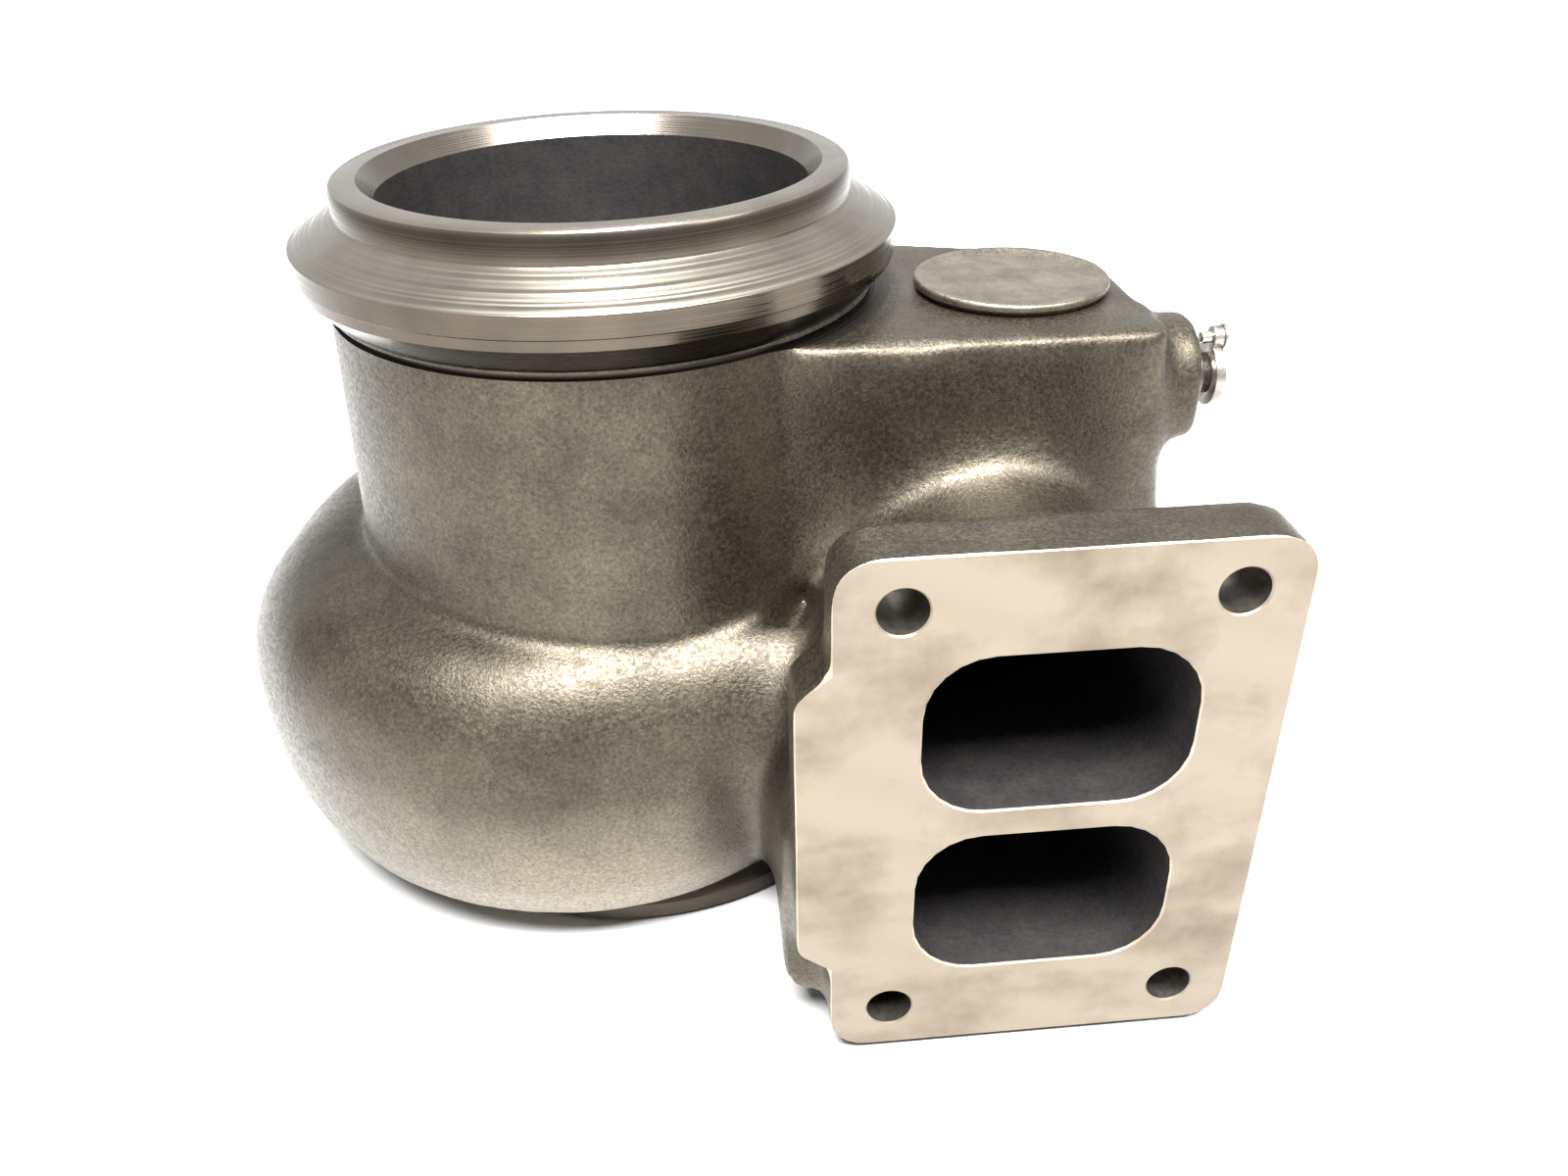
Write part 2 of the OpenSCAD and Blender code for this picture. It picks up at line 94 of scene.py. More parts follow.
def roundOff(points, radii, steps):
    # A side that ends in a plain point leaves the corner at its other end nearly all its length
    ring = []
    for i, p in enumerate(points):
        k = (i + 1) % len(points)
        before, after = (0.47 if radii[i] < 3 or radii[other] > 2 else 0.94 for other in (i - 1, k))
        ring += roundCorner(points[i - 1], p, points[k], radii[i], steps, before, after)
    return ring


def linear(hexColour):  # sRGB hex to a linear colour
    parts = [int(hexColour[i:i + 2], 16) / 255 for i in (1, 3, 5)]
    return [c / 12.92 if c <= 0.04045 else ((c + 0.055) / 1.055) ** 2.4 for c in parts] + [1]


def addNode(tree, kind, inputs=None, **settings):
    node = tree.nodes.new(kind)
    for key, value in settings.items():
        setattr(node, key, value)
    for key, value in (inputs or {}).items():
        if isinstance(value, bpy.types.NodeSocket):
            tree.links.new(value, node.inputs[key])
        else:
            node.inputs[key].default_value = value
    return node


def calc(tree, operation, *values):
    return addNode(tree, "ShaderNodeMath", dict(enumerate(values)), operation=operation).outputs[0]


def mapRange(tree, value, low, high, toLow=0.0, toHigh=1.0):
    return addNode(tree, "ShaderNodeMapRange", {"Value": value, "From Min": low, "From Max": high,
                                                "To Min": toLow, "To Max": toHigh}).outputs[0]


def scaled(tree, vector, factor):
    return addNode(tree, "ShaderNodeVectorMath", {0: vector, "Scale": factor}, operation="SCALE").outputs[0]


# Materials

def startMaterial(name, colour, metallic, roughness):
    material = bpy.data.materials.new(name)
    material.use_nodes = True
    material.diffuse_color = linear(colour)
    tree = material.node_tree
    shader = tree.nodes["Principled BSDF"]
    shader.inputs["Base Color"].default_value = linear(colour)
    shader.inputs["Metallic"].default_value = metallic
    shader.inputs["Roughness"].default_value = roughness
    place = addNode(tree, "ShaderNodeTexCoord").outputs["Object"]
    return material, tree, shader, place


def endMaterial(tree, shader, colour, gloss, normal):
    for name, socket in (("Base Color", colour), ("Roughness", gloss), ("Normal", normal)):
        tree.links.new(socket, shader.inputs[name])


def noise(tree, place, size, detail=2.0, roughness=0.5):  # size in millimetres
    return addNode(tree, "ShaderNodeTexNoise", {"Vector": place, "Scale": 1 / (size * mm), "Detail": detail,
                                                "Roughness": roughness}).outputs[0]


def toneRamp(tree, value, first, last, *others):  # each stop is a position and a hex colour
    ramp = addNode(tree, "ShaderNodeValToRGB", {0: value})
    stops = ramp.color_ramp.elements
    stops[0].position, stops[1].position = first[0], last[0]
    stops[0].color, stops[1].color = linear(first[1]), linear(last[1])
    for position, colour in others:
        stops.new(position).color = linear(colour)
    return ramp.outputs[0]


def mixColours(tree, share, a, b):
    return addNode(tree, "ShaderNodeMix", {0: share, 6: a, 7: b}, data_type="RGBA").outputs[2]


def grain(tree, height, strength, depth, **under):  # depth in millimetres
    return addNode(tree, "ShaderNodeBump", {"Height": height, "Strength": strength, "Distance": depth * mm,
                                            **under}).outputs[0]


skinLook = dict(dark="#3b362e", light="#504a3f", metallic=0.82, patchSize=24, gritSize=0.9, glintSize=0.8,
                gritDepth=0.2, gritStrength=0.75, lumpSize=9, lumpDepth=0.35, lumpStrength=0.35,
                speckle=(0.6, 1.4), gloss=(0.28, 0.5))
# Painted light from the floor: a paler tone on the lower half, in front between the far left and the neck:
# heights and X from none to full
paintedFloorLightLook = dict(colour="#9a8f80", share=0.55, height=(58, 22), left=(-100, -30), neck=(36, 12))


def makeSkinIron():
    # Cast iron, grit blasted: warm olive grey, matt with a fine sparkle and slow patches of tone
    material, tree, shader, place = startMaterial("blastedCastIron", skinLook["dark"], skinLook["metallic"],
                                                  0.4)
    patches = noise(tree, place, skinLook["patchSize"], 5.0, 0.6)
    grit = noise(tree, place, skinLook["gritSize"], 3.0, 0.7)
    lumps = noise(tree, place, skinLook["lumpSize"])
    glint = addNode(tree, "ShaderNodeTexVoronoi", {"Vector": place,
                                                   "Scale": 1 / (skinLook["glintSize"] * mm)})
    glintTone = addNode(tree, "ShaderNodeSeparateColor", {0: glint.outputs["Color"]}).outputs[0]
    tone = toneRamp(tree, patches, (0.34, skinLook["dark"]), (0.68, skinLook["light"]))
    axes = addNode(tree, "ShaderNodeSeparateXYZ", {0: place}).outputs
    # Painted light: the paler tone stands in for the floor's light falling on the lower front
    paintedFloorLight = mapRange(tree, axes["Z"], *(z * mm for z in paintedFloorLightLook["height"]), 0.0, paintedFloorLightLook["share"])
    for side in ("left", "neck"):
        paintedFloorLight = calc(tree, "MULTIPLY", paintedFloorLight, mapRange(tree, axes["X"], *(x * mm for x in paintedFloorLightLook[side])))
    floorLitTone = mixColours(tree, paintedFloorLight, tone, linear(paintedFloorLightLook["colour"]))
    colour = scaled(tree, floorLitTone, mapRange(tree, grit, 0.3, 0.7, *skinLook["speckle"]))
    gloss = mapRange(tree, glintTone, 0.0, 1.0, *skinLook["gloss"])
    swell = grain(tree, lumps, skinLook["lumpStrength"], skinLook["lumpDepth"])
    rough = grain(tree, grit, skinLook["gritStrength"], skinLook["gritDepth"], Normal=swell)
    endMaterial(tree, shader, colour, gloss, rough)
    return material


def makeTurnedMetal(name, colour, shadedWallColour, roughness, grooveWidth, grooveDepth):
    # Iron or steel turned on a lathe: satin grey with fine rings that drag the highlights across them.
    # Faces turned up get the lighter colour and the walls the darker one: painted light and shade by which
    # way a face turns
    material, tree, shader, place = startMaterial(name, colour, 1.0, roughness)
    axes = addNode(tree, "ShaderNodeSeparateXYZ", {0: place}).outputs
    flat = addNode(tree, "ShaderNodeCombineXYZ", {0: axes["X"], 1: axes["Y"]})
    radius = addNode(tree, "ShaderNodeVectorMath", {0: flat.outputs[0]}, operation="LENGTH")
    along = calc(tree, "ADD", radius.outputs["Value"], axes["Z"])
    rings = addNode(tree, "ShaderNodeTexNoise", {"W": along, "Scale": 1 / (grooveWidth * mm), "Detail": 2.0},
                    noise_dimensions="1D").outputs[0]
    normal = addNode(tree, "ShaderNodeNewGeometry").outputs["Normal"]
    facing = addNode(tree, "ShaderNodeSeparateXYZ", {0: normal}).outputs["Z"]
    # Painted shade on the walls, painted light on faces turned up
    cut = mixColours(tree, mapRange(tree, facing, 0.25, 0.8), linear(shadedWallColour), linear(colour))
    stains = mapRange(tree, noise(tree, place, 14, 4.0), 0.35, 0.7, 1.0, 0.78)
    gloss = mapRange(tree, rings, 0.3, 0.7, roughness - 0.06, roughness + 0.12)
    endMaterial(tree, shader, scaled(tree, cut, stains), gloss, grain(tree, rings, 0.5, grooveDepth))
    return material


faceLook = dict(clean="#7b7163", smudge="#695e50", brown="#4e4235", metallic=0.45, smudgeSize=30,
                strokeSize=12, strokeSlant=38, strokeStretch=0.3, strokeShare=0.35, trackSize=32,
                gloss=(0.34, 0.5), grainSize=0.7, grainDepth=0.08)


def makeMilledFace(name, clean, smudge, brown):
    # Cast iron, face milled: beige satin with slanted cutter strokes and brown finger smudges
    material, tree, shader, place = startMaterial(name, clean, faceLook["metallic"], 0.42)
    slant = addNode(tree, "ShaderNodeMapping", {"Vector": place,
                                                "Rotation": (0, math.radians(faceLook["strokeSlant"]), 0),
                                                "Scale": (faceLook["strokeStretch"], 1, 1)}).outputs[0]
    strokes = noise(tree, slant, faceLook["strokeSize"], 3.0)
    patches = noise(tree, place, faceLook["smudgeSize"], 6.0, 0.62)
    smudges = addNode(tree, "ShaderNodeMix", {0: faceLook["strokeShare"], 2: patches, 3: strokes}).outputs[0]
    tone = toneRamp(tree, smudges, (0.46, clean), (0.72, brown), (0.58, smudge))
    tracks = addNode(tree, "ShaderNodeTexWave", {"Vector": slant, "Scale": 1 / (faceLook["trackSize"] * mm),
                                                 "Distortion": 1.5, "Detail": 2.0}).outputs[1]
    fine = noise(tree, place, faceLook["grainSize"])
    endMaterial(tree, shader, tone, mapRange(tree, tracks, 0.0, 1.0, *faceLook["gloss"]),
                grain(tree, fine, 0.3, faceLook["grainDepth"]))
    return material


def makeGrainyMetal(name, dark, light, metallic, roughness, grainSize, grainDepth):
    # Iron or steel with a fine grain of scale, oil or handling marks over its tone
    material, tree, shader, place = startMaterial(name, dark, metallic, roughness)
    patches = noise(tree, place, grainSize * 7, 5.0, 0.65)
    fine = noise(tree, place, grainSize, 3.0)
    endMaterial(tree, shader, toneRamp(tree, patches, (0.35, dark), (0.7, light)),
                mapRange(tree, fine, 0.3, 0.7, roughness - 0.08, roughness + 0.1),
                grain(tree, fine, 0.5, grainDepth))
    return material


skinIron = makeSkinIron()
# The second colour of each turned iron is its walls' painted shade
turnedRing = makeTurnedMetal("turnedOutletIron", "#968f84", "#514a42", 0.2, 0.5, 0.02)
# Painted shade: the bearing ring's turned iron is made dark to stand as the shade under the scroll; the
# groove under the clamp ring uses it too
shadedTurnedIron = makeTurnedMetal("turnedBearingIron", "#565049", "#4a443d", 0.42, 0.6, 0.03)
milledFace = makeMilledFace("milledIronFace", faceLook["clean"], faceLook["smudge"], faceLook["brown"])
# The same iron where an edge is freshly broken: brighter and clean
milledEdge = makeMilledFace("brokenIronEdge", "#9d9383", "#8a7f6f", "#726655")
# The plug's cast face, scraped brighter than the casting that it closes
plugIron = makeGrainyMetal("scrapedCastIron", "#615a4f", "#7f786b", 0.85, 0.36, 0.9, 0.14)
# Gas-side iron, dark with oxide and oil, dull in the grain
gasSideIron = makeGrainyMetal("oxidisedGasIron", "#1f1d1d", "#2e2a29", 0.4, 0.62, 1.2, 0.2)
# Drilled and ported iron, greyer and a little brighter than the gas side
drilledIron = makeGrainyMetal("drilledIron", "#45423e", "#6a655e", 0.8, 0.4, 0.7, 0.06)
# Steel bush, pressed in and wiped with oil
bushSteel = makeGrainyMetal("oiledBushSteel", "#4b4844", "#6d6963", 0.9, 0.38, 0.6, 0.05)
# Ground steel shaft, washer and clip
groundSteel = makeGrainyMetal("groundSteel", "#8a8782", "#b3b0aa", 1.0, 0.3, 0.5, 0.03)
# Cast heat-resisting steel inside the chamber
valveSteel = makeGrainyMetal("castValveSteel", "#55504a", "#7a736a", 0.85, 0.46, 0.8, 0.08)
# Stamped steel lever, tumbled dull
leverSteel = makeGrainyMetal("tumbledLeverSteel", "#7f7a72", "#a8a29a", 0.95, 0.36, 0.6, 0.04)
# Bright turned pin
pinSteel = makeGrainyMetal("brightPinSteel", "#c9c6c0", "#e4e1db", 1.0, 0.2, 0.4, 0.02)
print("stage: materials made")


# Mesh tools

def addObject(name, mesh, material=None):
    obj = bpy.data.objects.new(name, mesh)
    bpy.context.scene.collection.objects.link(obj)
    if material:
        mesh.materials.clear()
        mesh.materials.append(material)
    return obj


def toMesh(name, bm):
    mesh = bpy.data.meshes.new(name)
    bm.to_mesh(mesh)
    bm.free()
    return mesh


def meshFrom(bm, name, material, place=Matrix()):
    bmesh.ops.remove_doubles(bm, verts=bm.verts, dist=1e-7)
    bmesh.ops.transform(bm, matrix=place, verts=bm.verts)
    bmesh.ops.recalc_face_normals(bm, faces=bm.faces)
    return addObject(name, toMesh(name, bm), material)


def applyModifiers(obj):
    graph = bpy.context.evaluated_depsgraph_get()
    mesh = bpy.data.meshes.new_from_object(obj.evaluated_get(graph))
    obj.modifiers.clear()
    obj.data = mesh
    return obj


def runTree(obj, tree, values):
    modifier = obj.modifiers.new(tree.name, "NODES")
    modifier.node_group = tree
    for item in tree.interface.items_tree:
        if item.item_type == "SOCKET" and item.in_out == "INPUT" and item.name in values:
            modifier[item.identifier] = values[item.name]
    return applyModifiers(obj)


def startTree(name, sockets):
    tree = bpy.data.node_groups.new(name, "GeometryNodeTree")
    tree.interface.new_socket("Geometry", in_out="INPUT", socket_type="NodeSocketGeometry")
    for label, kind in sockets:
        tree.interface.new_socket(label, in_out="INPUT", socket_type=kind)
    tree.interface.new_socket("Geometry", in_out="OUTPUT", socket_type="NodeSocketGeometry")
    return tree, tree.nodes.new("NodeGroupInput"), tree.nodes.new("NodeGroupOutput")


def endTree(tree, entry, result, geometry):
    whole = addNode(tree, "GeometryNodeRealizeInstances", {"Geometry": geometry})
    named = addNode(tree, "GeometryNodeSetMaterial", {"Geometry": whole.outputs[0],
                                                      "Material": entry.outputs["Material"]})
    tree.links.new(named.outputs[0], result.inputs[0])
    return tree


def revolve(name, profile, material, segments=192, place=Matrix()):
    bm = bmesh.new()
    rings = []
    for radius, height in profile:
        turns = [2 * math.pi * k / segments for k in range(segments)] if radius > 1e-6 else [0]
        rings.append([bm.verts.new((radius * mm * math.cos(t), radius * mm * math.sin(t), height * mm))
                      for t in turns])
    for low, high in zip(rings, rings[1:] + rings[:1]):
        for k in range(segments):
            corners = [low[k % len(low)], low[(k + 1) % len(low)],
                       high[(k + 1) % len(high)], high[k % len(high)]]
            corners = list(dict.fromkeys(corners))
            if len(corners) > 2:
                bm.faces.new(corners)
    return meshFrom(bm, name, material, place)


def loft(name, rings, material, looped=False):  # looped joins the last ring to the first
    bm = bmesh.new()
    rows = [[bm.verts.new(Vector(p) * mm) for p in ring] for ring in rings]
    count = len(rows[0])
    for row, nextRow in zip(rows, rows[1:] + (rows[:1] if looped else [])):
        for i in range(count):
            k = (i + 1) % count
            bm.faces.new((row[i], row[k], nextRow[k], nextRow[i]))
    for row in () if looped else (rows[0], rows[-1]):
        middle = bm.verts.new(sum((v.co for v in row), Vector()) / count)
        for i in range(count):
            bm.faces.new((row[i], row[(i + 1) % count], middle))
    return meshFrom(bm, name, material)


def block(name, low, high, material):
    bm = bmesh.new()
    bmesh.ops.create_cube(bm, size=1)
    for v in bm.verts:
        v.co = Vector([mix(low[i], high[i], v.co[i] + 0.5) * mm for i in range(3)])
    return meshFrom(bm, name, material)


def joinAll(name, objects):
    bm = bmesh.new()
    for obj in objects:
        bm.from_mesh(obj.data)
        bpy.data.objects.remove(obj)
    return addObject(name, toMesh(name, bm))


def machine(work, tool, operation="DIFFERENCE"):
    before = len(work.data.vertices)
    for solver in ("MANIFOLD", "EXACT"):
        cut = work.modifiers.new("cut", "BOOLEAN")
        cut.operation = operation
        cut.solver = solver
        cut.object = tool
        if hasattr(cut, "material_mode"):
            cut.material_mode = "TRANSFER"
        applyModifiers(work)
        if len(work.data.vertices) != before:
            break
        print("  solver", solver, "left", tool.name, "uncut")
    bpy.data.objects.remove(tool)
    return work


# Casting: sizes of the housing as it is cast, before it is machined
casting = dict(scrollR=133, scrollFall=0.059, scrollFall2=0.000343, scrollTuck=7.5, scrollLow=12.5,
               scrollEnd=306, scrollSteps=90, roundBack=150, crown=21,
               wallStart=70, wallTop=54, wall=6, tailDrop=5, tailFrom=225, tailTo=270, shoulderStart=114,
               shoulderLow=97, shoulderFall=0.045, straightFrom=36, straightFull=64,
               coreR=58, coreFoot=4, coreStep=17.5, coreTop=166, bodyFrom=92, bodyTo=158, creaseR=66,
               neckLeft=35, neckMid=52, neckWall=4.5, neckBlend=62, sideZ=62,
               voxel=1.8, smoothing=12, unevenSize=17, unevenDepth=0.3, unevenSeed=3.0)
# The scroll's rounded lower edge: out from its tucked radius and up from its floor
lowerEdge = [(-4.5, 0), (-1.2, 1.1), (0, 4), (4.2, 14)]
# By angle round the axis: how far the shoulder's arc rises above the wall, and how far out its crown reaches
shoulderRise = [(0, 58), (170, 18), (209, 27), (270, 20)]
shoulderReach = [(0, 0.43), (170, 0.55), (209, 0.8), (270, 0.55)]
# The neck's left wall above its side: height and X
neckSide = [(97, casting["neckMid"]), (114, 70), (125, 80)]
inlet = dict(x=95, z=71, y=-housingLow.y / mm, width=99, height=139, thick=17, stock=4, cornerR=9,
             padWidth=7.8, padHeight=73, padSlope=6, portWidth=60, portHeight=41, portCorner=15, divider=7.6,
             studAcross=70, studUp=114, studD=11, lip=0.4, chamfer=0.35)
outlet = dict(top=housingHigh.z / mm, boreD=109, spigotD=130, spigotH=8, clampD=153.5, rimH=8, coneH=6,
              underH=8, mouthChamfer=3.5, mouthDepth=5, bodyTopD=139.5, bodyLowD=144)
bearing = dict(clampD=150, clampH=6, coneH=6, neckR=68.5, pilotD=124, pilotDepth=8)
wheel = dict(inletR=47.6, outletR=42.6, top=62, nozzleLow=24, nozzleHigh=38.5, nozzleFloor=31.5,
             nozzleRoof=35.5, tipR=45, tipStart=53, tipAngle=25, throatR=58, dividerLow=47, diffuser=118)
chamber = dict(x=135.5, y=57.5, back=9, slant=17, flare=5.5, flareOver=40, top=158.5, edge=4, low=95, wall=6,
               rootX=20, inX=76, frontR=6, backR=13, roomFrontR=8, backStep=1.5, windowX=40,
               seatZ=126, seatDepth=30, bypassD=25, valveX=100, valveY=-12, windowW=36, windowH=22,
               plugX=105, plugY=-18.5, plugD=50, accessD=40)
boss = dict(y=-38, z=140, d=31.6, length=10.7, faceReach=25, faceLow=118, boreD=14.1, legZ=128)


def outerRadius(angle):
    return casting["scrollR"] - casting["scrollFall"] * angle - casting["scrollFall2"] * angle ** 2


def shoulderHeight(angle):
    low = casting["shoulderLow"] - casting["shoulderFall"] * (angle - casting["roundBack"])
    return mix(casting["shoulderStart"], low, smooth(angle / casting["roundBack"]))


def wallHeight(angle):
    share = (angle - casting["tailFrom"]) / (casting["tailTo"] - casting["tailFrom"])
    tail = casting["tailDrop"] * smooth(share)  # its rounder shoulder takes up more of the wall
    return mix(casting["wallStart"], casting["wallTop"], min(1, max(0, angle / casting["roundBack"]))) - tail


def outerSection(angle, t):  # t goes from 0 at the flange to 1 on the axis
    r, top, wallZ, floor = outerRadius(angle), shoulderHeight(angle), wallHeight(angle), casting["scrollLow"]
    core, crease = casting["coreR"], casting["creaseR"]
    left, leftMid = mix(casting["neckLeft"], core, t), mix(casting["neckMid"], core, t)
    crown = top + casting["crown"] * (1 - smooth(angle / casting["roundBack"]))
    arc = [Vector((r, wallZ)), Vector((r, wallZ + lookUp(angle, shoulderRise))),
           Vector((mix(crease, r, lookUp(angle, shoulderReach)), crown)), Vector((crease, top))]
    return ([(left + 3, floor)] + [(r - casting["scrollTuck"] + out, floor + up) for out, up in lowerEdge]
            + [(r - 1, floor + 26)] + [tuple(bezier(*arc, i / 16)) for i in range(17)]
            + [(leftMid, top - 17), (mix(casting["neckLeft"], core, t * 0.99), casting["sideZ"]),
               (left, floor + 6)])


def flatRing(section, s):  # the tree below bends what lies past y = 0 round the axis
    return [(p[0], s, p[1]) for p in section]


def makeBendTree():
    tree, entry, result = startTree("bendRoundAxis", [("Degrees per Metre", "NodeSocketFloat"),
                                                      ("Material", "NodeSocketMaterial")])
    axes = addNode(tree, "ShaderNodeSeparateXYZ",
                   {0: addNode(tree, "GeometryNodeInputPosition").outputs[0]}).outputs
    angle = calc(tree, "RADIANS", calc(tree, "MULTIPLY", axes["Y"], entry.outputs["Degrees per Metre"]))
    across = calc(tree, "MULTIPLY", axes["X"], calc(tree, "COSINE", angle))
    along = calc(tree, "MULTIPLY", axes["X"], calc(tree, "SINE", angle))
    bent = addNode(tree, "ShaderNodeCombineXYZ", {0: across, 1: along, 2: axes["Z"]})
    pastAxis = addNode(tree, "FunctionNodeCompare", {0: axes["Y"], 1: 0.0},
                       data_type="FLOAT", operation="GREATER_EQUAL")
    moved = addNode(tree, "GeometryNodeSetPosition", {"Geometry": entry.outputs["Geometry"],
                                                      "Selection": pastAxis.outputs[0],
                                                      "Position": bent.outputs[0]})
    return endTree(tree, entry, result, moved.outputs[0])


def makeSkinTree():
    tree, entry, result = startTree("castSkin", [("Lump Size", "NodeSocketFloat"),
                                                 ("Depth", "NodeSocketFloat"), ("Seed", "NodeSocketFloat"),
                                                 ("Material", "NodeSocketMaterial")])
    scale = calc(tree, "DIVIDE", 1.0, entry.outputs["Lump Size"])
    lumps = addNode(tree, "ShaderNodeTexNoise", {"W": entry.outputs["Seed"], "Scale": scale, "Detail": 1.0},
                    noise_dimensions="4D")
    level = calc(tree, "SUBTRACT", lumps.outputs[0], 0.5)
    normal = addNode(tree, "GeometryNodeInputNormal").outputs[0]
    offset = scaled(tree, normal, calc(tree, "MULTIPLY", level, entry.outputs["Depth"]))
    moved = addNode(tree, "GeometryNodeSetPosition", {"Geometry": entry.outputs["Geometry"],
                                                      "Offset": offset})
    return endTree(tree, entry, result, moved.outputs[0])


def makeStudTree():
    tree, entry, result = startTree("studPattern", [("Across", "NodeSocketFloat"), ("Up", "NodeSocketFloat"),
                                                    ("Middle", "NodeSocketVector"),
                                                    ("Material", "NodeSocketMaterial")])
    grid = addNode(tree, "GeometryNodeMeshGrid", {"Size X": entry.outputs["Across"],
                                                  "Size Y": entry.outputs["Up"],
                                                  "Vertices X": 2, "Vertices Y": 2})
    upright = addNode(tree, "GeometryNodeTransform", {"Geometry": grid.outputs["Mesh"],
                                                      "Translation": entry.outputs["Middle"],
                                                      "Rotation": (math.radians(90), 0, 0)})
    holes = addNode(tree, "GeometryNodeInstanceOnPoints", {"Points": upright.outputs[0],
                                                           "Instance": entry.outputs["Geometry"]})
    return endTree(tree, entry, result, holes.outputs[0])


bendTree, skinTree, studTree = makeBendTree(), makeSkinTree(), makeStudTree()


def bend(obj, material):
    return runTree(obj, bendTree, {"Degrees per Metre": 1 / mm, "Material": material})


def runStraight(section, angle):  # past 270 degrees the shoulder leaves the spiral and runs on into the neck
    stretch = 1 / math.cos(math.radians(max(0, angle - 270)))
    low, high = casting["straightFrom"], casting["straightFull"]
    return [(r * mix(1, stretch, smooth((z - low) / (high - low))), z) for r, z in section]


def makeScroll():
    neckEnd = inlet["y"] - inlet["thick"] / 2
    neck = [flatRing(outerSection(0, smooth(1 - y / casting["neckBlend"])), -y) for y in
            (neckEnd * (1 - i / 12) for i in range(12))]
    steps = casting["scrollSteps"]
    turns = [flatRing(runStraight(outerSection(a, 1), a), a) for a in
             (casting["scrollEnd"] * i / steps for i in range(steps + 1))]
    return bend(loft("scrollBlank", neck + turns, skinIron), skinIron)


def chamberOutline(x0, inset, frontR, backR):
    x1, y0, y1 = chamber["x"] - inset, -chamber["y"] + inset, chamber["back"] - inset
    x2 = x1 - chamber["backStep"]
    left = Vector((x0, y1 + (x2 - x0) * math.tan(math.radians(chamber["slant"]))))
    frontCorner, backCorner = Vector((x1, y0)), Vector((x2, y1))
    return ([left, Vector((x0, y0))] + roundCorner(Vector((x0, y0)), frontCorner, backCorner, frontR, 6)
            + roundCorner(frontCorner, backCorner, left, backR, 8))


def makeChamberBlank():
    shoulder = chamber["top"] - chamber["edge"]
    spread = (shoulder - chamber["low"]) * math.tan(math.radians(chamber["flare"]))
    top = chamberOutline(chamber["rootX"], 0, chamber["frontR"], chamber["backR"])
    low = [p + Vector((spread * min(1, max(0, (p.x - chamber["inX"]) / chamber["flareOver"])), 0))
           for p in top]
    return loft("chamberBlank", [[(p.x, p.y, z) for p in outline] for outline, z in
                                 ((top, chamber["top"]), (top, shoulder), (low, chamber["low"]))], skinIron)


def flangeOutline(inset=0):
    halfW, halfH = inlet["width"] / 2 - inset, inlet["height"] / 2 - inset
    x0, x1, z0, z1 = inlet["x"] - halfW, inlet["x"] + halfW, inlet["z"] - halfH, inlet["z"] + halfH
    low, high = inlet["z"] - inlet["padHeight"] / 2, inlet["z"] + inlet["padHeight"] / 2
    corners = [Vector(c) for c in ((x0, z0), (x1, z0), (x1, z1), (x0, z1))]
    ring = roundOff(corners, [inlet["cornerR"] - inset] * 4, 6)
    return ring + [Vector((x0, high + inlet["padSlope"])), Vector((x0 - inlet["padWidth"], high)),
                   Vector((x0 - inlet["padWidth"], low)), Vector((x0, low - inlet["padSlope"]))]


def makeFlangeBlank():
    outline = flangeOutline()
    front, back = inlet["y"] + inlet["stock"], inlet["y"] - inlet["thick"]  # cast proud, to be milled off
    return loft("flangeBlank", [[(p.x, -y, p.y) for p in outline] for y in (front, back)], skinIron)


def acrossX(x, y, z):  # turns a revolved piece's axis to +X
    return Matrix.Translation(Vector((x, y, z)) * mm) @ Matrix.Rotation(math.radians(90), 4, "Y")


def makeBossBlank():
    end = boss["length"] + 3
    barrel = revolve("bossBlank", [(0, 0), (boss["d"] / 2, 0), (boss["d"] / 2, end), (0, end)], skinIron, 96,
                     acrossX(chamber["x"] - 3, boss["y"], boss["z"]))
    half = boss["d"] / 2 - 0.5
    leg = block("bossLeg", (chamber["x"] - 3, boss["y"] - half, boss["legZ"]),
                (chamber["x"] - 4 + end, boss["y"] + half, boss["z"]), skinIron)
    return [barrel, leg]


# Wide cast fillets: both ends of the line that each follows, its reach and how often it is smoothed
castFillets = [((34, -92, 18), (40, -88, 104), 22, 160),    # neck into the scroll
               ((62, -62, 120), (122, -62, 116), 24, 260),  # neck into the chamber's front
               ((72, -52, 160), (78, -30, 166), 12, 20)]    # chamber into the outlet cylinder
softenFull = 3 / 8  # of a fillet's reach, up to where it is smoothed in full


def softenNear(obj, a, b, reach, passes):
    group = obj.vertex_groups.new(name="fillet")
    along = b - a
    for v in obj.data.vertices:
        t = min(1, max(0, (v.co - a).dot(along) / along.length_squared))
        nearness = 1 - (v.co - a - along * t).length / reach
        if nearness > 0:
            group.add([v.index], smooth(nearness / (1 - softenFull)), "REPLACE")
    soften = obj.modifiers.new("fillet", "SMOOTH")
    soften.factor = 0.5
    soften.iterations = passes
    soften.vertex_group = group.name
    applyModifiers(obj)
    obj.vertex_groups.clear()


